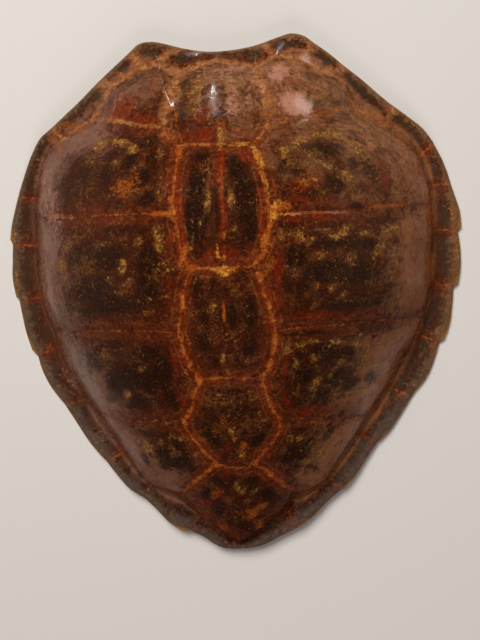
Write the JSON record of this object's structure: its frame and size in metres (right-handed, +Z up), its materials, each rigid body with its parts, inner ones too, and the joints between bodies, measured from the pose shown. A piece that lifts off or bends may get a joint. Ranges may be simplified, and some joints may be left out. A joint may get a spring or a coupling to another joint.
{
  "type": "sea turtle carapace",
  "caption": "Domed upper shell of a sea turtle in one piece, dome up: seamed horny scutes over bone, a flared and toothed rim, and a ribbed hollow underside.",
  "frame": {"origin": "under the middle of the shell's box, on the surface that its side margins lie on", "axes": "+X across the shell, +Y towards the head end, +Z up through the dome"},
  "size_m": [0.626, 0.706, 0.1846],
  "materials": {
    "varnished_horn": "varnished red-brown horn with dark and golden mottling, bare bone underneath"
  },
  "bodies": {
    "root": {"carapace": "varnished_horn"}
  },
  "joints": []
}
